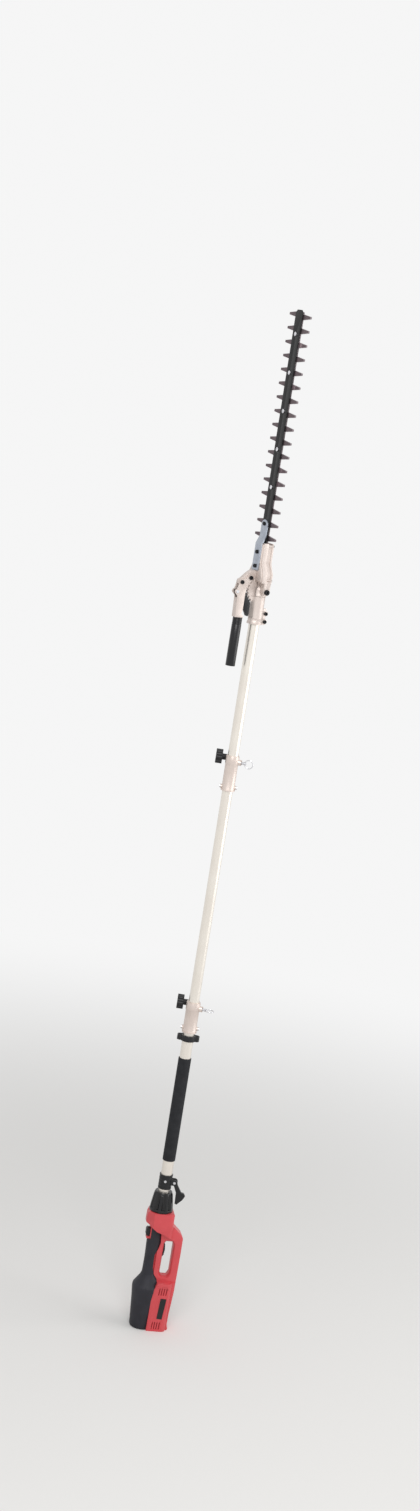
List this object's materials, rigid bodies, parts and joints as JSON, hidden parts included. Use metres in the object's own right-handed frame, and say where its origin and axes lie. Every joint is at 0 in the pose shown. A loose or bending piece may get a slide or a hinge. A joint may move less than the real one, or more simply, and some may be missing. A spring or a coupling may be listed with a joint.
{
  "type": "pole hedge trimmer",
  "caption": "Electric pole hedge trimmer: double toothed blade on a tilting gear head, sectioned tube pole with couplings, rear motor housing with D-handle.",
  "frame": {"origin": "centre of the pole's axis on the flat tail face of the motor housing", "axes": "+Z along the pole towards the blade tip, +X towards the side that the head folds to; the tilt axis is parallel to Y. The D-handle and its trigger point 20 degrees from +X towards -Y, as the handle is turned on the pole in the picture"},
  "size_m": [0.126, 0.0951, 2.363],
  "materials": {
    "bar_black": "satin black paint",
    "blade_steel": "ground hardened steel",
    "bright_steel": "bright zinc",
    "zinc": "bright zinc plate",
    "black_steel": "black oxide",
    "cast_aluminium": "die cast, fine blasted",
    "gear_steel": "machined",
    "bronze": "sintered bronze",
    "black_rubber": "matt",
    "black_plastic": "moulded",
    "tube_aluminium": "drawn tube, clear anodised",
    "sleeve_aluminium": "satin",
    "black_foam": "closed cell foam",
    "gloss_black": "glossy moulded",
    "red_plastic": "fine moulded grain",
    "soft_black": "soft overmould",
    "copper": "wound copper and laminated steel"
  },
  "bodies": {
    "pole": {"tube_clamp": "cast_aluminium", "clamp_bolts": "black_steel", "upper_tube": "tube_aluminium", "middle_tube": "tube_aluminium", "lower_tube": "tube_aluminium", "upper_coupling": "sleeve_aluminium", "lower_coupling": "sleeve_aluminium", "coupling_screws": "bright_steel", "strap_ring": "black_plastic", "grip_sleeve": "black_foam", "clamp_band": "black_plastic", "clamp_band_pins": "bright_steel", "shaft_bushes": "black_plastic", "housing_left": "red_plastic", "housing_right": "red_plastic", "soft_cover": "soft_black", "small_springs": "bright_steel", "switch_box": "black_plastic", "motor_field": "gear_steel", "motor_bearings": "bright_steel", "brush_holders": "bronze", "cable_inlet": "black_rubber", "housing_screws": "black_steel"},
    "head": {"blade_bar": "bar_black", "blade_bolts": "bright_steel", "blade_bracket": "zinc", "bracket_bolts": "black_steel", "gear_case_front": "cast_aluminium", "gear_case_back": "cast_aluminium", "gear_case_screws": "black_steel", "crank_bushes": "bronze", "head_bush": "bronze", "tilt_pivot_bolt": "black_steel", "tilt_handle_arm": "cast_aluminium", "tilt_handle_grip": "black_rubber", "lever_pin": "bright_steel", "arm_bolts": "black_steel"},
    "upper_blade": {"upper_blade": "blade_steel"},
    "lower_blade": {"lower_blade": "blade_steel"},
    "crank": {"crank_gear": "gear_steel"},
    "head_pinion": {"head_pinion": "gear_steel"},
    "idler": {"idler_gear": "gear_steel"},
    "drive": {"rotor": "copper", "cooling_fan": "black_plastic", "lower_drive_shaft": "gear_steel", "middle_drive_shaft": "gear_steel", "upper_drive_shaft": "gear_steel", "pole_pinion": "gear_steel"},
    "release_lever": {"release_lever": "black_plastic"},
    "upper_knob": {"upper_knob": "black_plastic"},
    "lower_knob": {"lower_knob": "black_plastic"},
    "upper_lock": {"upper_lock_pin": "bright_steel"},
    "upper_ring": {"upper_pull_ring": "bright_steel"},
    "lower_lock": {"lower_lock_pin": "bright_steel"},
    "lower_ring": {"lower_pull_ring": "bright_steel"},
    "clamp_lever": {"clamp_lever": "black_plastic"},
    "collar": {"collar_nut": "gloss_black"},
    "trigger": {"trigger": "black_plastic"},
    "lock_off": {"lock_off_button": "black_plastic"}
  },
  "joints": [
    {"name": "head_tilt", "type": "hinge", "parent": "pole", "child": "head", "pos_m": [0, 0, 1.752], "axis": [0, 1, 0], "range_deg": [0, 90]},
    {"name": "release_lever_press", "type": "hinge", "parent": "head", "child": "release_lever", "pos_m": [-0.059, 0, 1.7455], "axis": [0, 1, 0], "range_deg": [-3, 8], "stiffness_Nm_per_rad": 0.6, "springref_deg": -3},
    {"name": "upper_blade_slide", "type": "slide", "parent": "head", "child": "upper_blade", "axis": [0, 0, 1], "range_m": [-0.0045, 0.0045]},
    {"name": "lower_blade_slide", "type": "slide", "parent": "head", "child": "lower_blade", "axis": [0, 0, 1], "range_m": [-0.0045, 0.0045]},
    {"name": "drive_spin", "type": "hinge", "parent": "pole", "child": "drive", "pos_m": [0, 0, 0.6], "axis": [0, 0, 1], "continuous": true},
    {"name": "idler_spin", "type": "hinge", "parent": "pole", "child": "idler", "pos_m": [0, 0, 1.752], "axis": [0, 1, 0], "continuous": true},
    {"name": "head_pinion_spin", "type": "hinge", "parent": "head", "child": "head_pinion", "pos_m": [0, 0, 1.77], "axis": [0, 0, 1], "continuous": true},
    {"name": "crank_spin", "type": "hinge", "parent": "head", "child": "crank", "pos_m": [0, 0, 1.796], "axis": [1, 0, 0], "continuous": true},
    {"name": "upper_knob_turn", "type": "hinge", "parent": "pole", "child": "upper_knob", "pos_m": [0.0095, 0.01645, 1.368], "axis": [-0.866, 0.5, 0], "range_deg": [0, 720]},
    {"name": "lower_knob_turn", "type": "hinge", "parent": "pole", "child": "lower_knob", "pos_m": [0.0095, 0.01645, 0.789], "axis": [-0.866, 0.5, 0], "range_deg": [0, 720]},
    {"name": "upper_lock_pull", "type": "slide", "parent": "pole", "child": "upper_lock", "axis": [0.7071, -0.7071, 0], "range_m": [0, 0.005], "stiffness_N_per_m": 900, "springref_m": -0.004},
    {"name": "lower_lock_pull", "type": "slide", "parent": "pole", "child": "lower_lock", "axis": [0.7071, -0.7071, 0], "range_m": [0, 0.005], "stiffness_N_per_m": 900, "springref_m": -0.004},
    {"name": "upper_ring_swing", "type": "hinge", "parent": "upper_lock", "child": "upper_ring", "pos_m": [0.0209, -0.0209, 1.364], "axis": [0, 0, 1], "range_deg": [-60, 60]},
    {"name": "lower_ring_swing", "type": "hinge", "parent": "lower_lock", "child": "lower_ring", "pos_m": [0.0216, -0.0216, 0.785], "axis": [0.7071, 0.7071, 0], "range_deg": [-60, 60]},
    {"name": "clamp_lever_swing", "type": "hinge", "parent": "pole", "child": "clamp_lever", "pos_m": [0.01862, -0.01075, 0.362], "axis": [-0.5, -0.866, 0], "range_deg": [0, 110]},
    {"name": "collar_turn", "type": "hinge", "parent": "pole", "child": "collar", "pos_m": [0, 0, 0.32], "axis": [0, 0, 1], "range_deg": [0, 360]},
    {"name": "trigger_press", "type": "hinge", "parent": "pole", "child": "trigger", "pos_m": [0.01128, -0.0041, 0.215], "axis": [0.342, 0.9397, 0], "range_deg": [0, 10], "stiffness_Nm_per_rad": 0.8, "springref_deg": -8.59},
    {"name": "lock_off_press", "type": "slide", "parent": "pole", "child": "lock_off", "axis": [0.9397, -0.342, 0], "range_m": [0, 0.003], "stiffness_N_per_m": 600, "springref_m": -0.003}
  ],
  "couplings": [
    {"joint": "lower_blade_slide", "follows": "upper_blade_slide", "ratio": -1},
    {"joint": "idler_spin", "follows": "drive_spin", "ratio": 0.5},
    {"joint": "head_pinion_spin", "follows": "drive_spin", "ratio": -1},
    {"joint": "crank_spin", "follows": "drive_spin", "ratio": -0.2}
  ]
}
